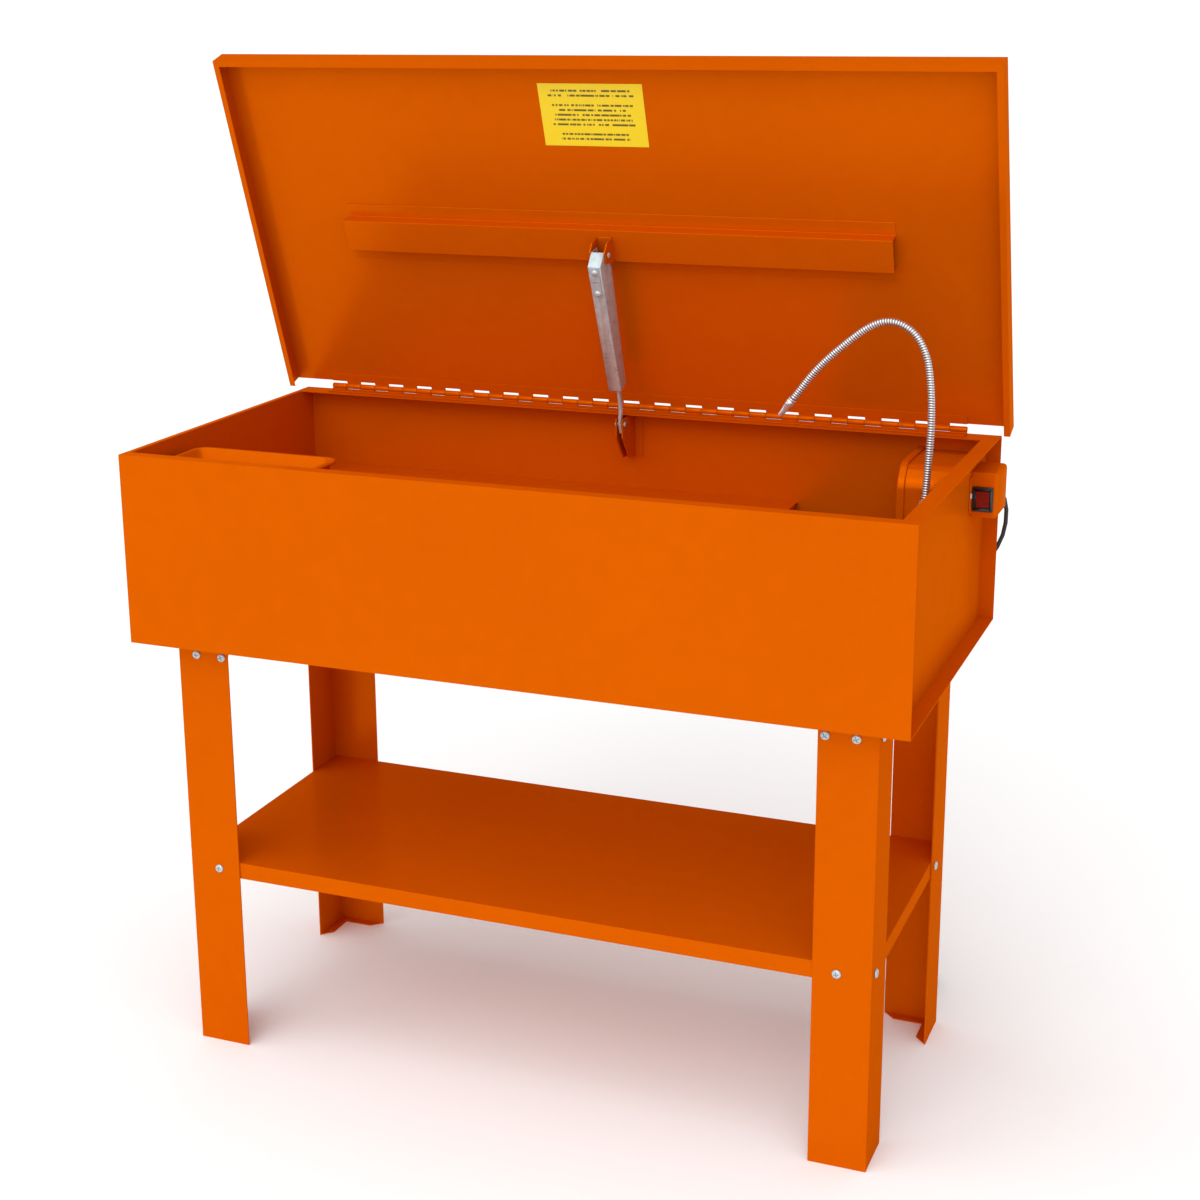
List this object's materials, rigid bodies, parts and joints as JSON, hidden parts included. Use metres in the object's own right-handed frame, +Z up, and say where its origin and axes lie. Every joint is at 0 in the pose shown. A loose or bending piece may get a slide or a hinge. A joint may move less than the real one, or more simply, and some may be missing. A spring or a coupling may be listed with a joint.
{
  "type": "parts washer tank",
  "caption": "Sheet steel parts washing tank on angle legs with a hinged lid, telescoping stay, pump, flexible spout, shelves and parts tray.",
  "frame": {"origin": "on the floor, below the middle of the tank's bounding box", "axes": "+X along the tank towards the switch box, +Y towards the hinged back, +Z up"},
  "size_m": [1.184, 0.656, 1.4734],
  "materials": {
    "orange_paint": "orange powder coat, fine orange peel, semi-gloss",
    "zinc": "bright zinc plate",
    "chrome": "polished, spirally wound on the hose",
    "black_plastic": "moulded, satin",
    "red_plastic": "moulded, glossy",
    "rubber": "smooth black",
    "yellow_label": "plain yellow film"
  },
  "bodies": {
    "tank": {"tank_front_panel": "orange_paint", "tank_back_panel": "orange_paint", "left_end_panel": "orange_paint", "right_end_panel": "orange_paint", "tank_floor": "orange_paint", "drain_plug": "zinc", "leg_front_left": "orange_paint", "leg_front_right": "orange_paint", "leg_back_left": "orange_paint", "leg_back_right": "orange_paint", "leg_bracket_front_left": "orange_paint", "leg_bracket_front_right": "orange_paint", "leg_bracket_back_left": "orange_paint", "leg_bracket_back_right": "orange_paint", "bracket_bolt_front_left": "zinc", "bracket_bolt_front_right": "zinc", "bracket_bolt_back_left": "zinc", "bracket_bolt_back_right": "zinc", "shelf_bolt_front_left": "zinc", "shelf_bolt_front_right": "zinc", "shelf_bolt_back_left": "zinc", "shelf_bolt_back_right": "zinc", "bottom_shelf": "orange_paint", "hinge_leaf_tank": "orange_paint", "hinge_pin": "zinc", "stay_bracket_lower": "orange_paint", "stay_pin_lower": "zinc", "work_shelf": "orange_paint", "shelf_ledge_front": "orange_paint", "shelf_ledge_back": "orange_paint", "pump_cover": "orange_paint", "pump_strainer": "black_plastic", "pump_body": "black_plastic", "delivery_hose": "rubber", "hose_clamp": "zinc", "spout_elbow": "chrome", "pump_cable": "rubber", "switch_box": "orange_paint", "switch_bezel": "black_plastic", "strain_relief": "rubber", "power_cord": "rubber", "cord_coil": "rubber", "plug": "rubber"},
    "lid": {"hinge_leaf_lid": "orange_paint", "lid_panel": "orange_paint", "lid_stiffener": "orange_paint", "label_plate": "yellow_label", "stay_bracket_upper": "orange_paint", "stay_pin_upper": "zinc"},
    "stay_channel": {"stay_channel": "zinc", "fusible_link": "zinc", "link_rivet_upper": "zinc", "link_rivet_lower": "zinc"},
    "stay_rod": {"stay_rod": "zinc"},
    "spout": {"spout_ferrule": "chrome", "spout_hose": "chrome", "spout_nozzle": "chrome"},
    "rocker": {"switch_rocker": "red_plastic"},
    "tray": {"parts_tray": "orange_paint"}
  },
  "joints": [
    {"name": "lid_hinge", "type": "hinge", "parent": "tank", "child": "lid", "pos_m": [0, 0.2704, 0.9365], "axis": [1, 0, 0], "range_deg": [0, 70.5]},
    {"name": "stay_channel_pivot", "type": "hinge", "parent": "lid", "child": "stay_channel", "pos_m": [0, 0.13862, 1.18671], "axis": [1, 0, 0], "range_deg": [0, 7]},
    {"name": "stay_rod_pivot", "type": "hinge", "parent": "tank", "child": "stay_rod", "pos_m": [0, 0.222, 0.917], "axis": [1, 0, 0], "range_deg": [0, 77.5]},
    {"name": "spout_fold", "type": "hinge", "parent": "tank", "child": "spout", "pos_m": [0.497, 0.105, 0.85], "axis": [1, 0, 0], "range_deg": [0, 92]},
    {"name": "switch_rock", "type": "hinge", "parent": "tank", "child": "rocker", "pos_m": [0.5701, 0.1686, 0.858], "axis": [1, 0, 0], "range_deg": [-14, 0]},
    {"name": "tray_slide", "type": "slide", "parent": "tank", "child": "tray", "axis": [1, 0, 0], "range_m": [0, 0.3]}
  ],
  "couplings": [
    {"joint": "stay_channel_pivot", "follows": "lid_hinge", "ratio": 0.0894},
    {"joint": "stay_rod_pivot", "follows": "lid_hinge", "ratio": 1.0894},
    {"joint": "spout_fold", "follows": "lid_hinge", "ratio": 1.277}
  ]
}
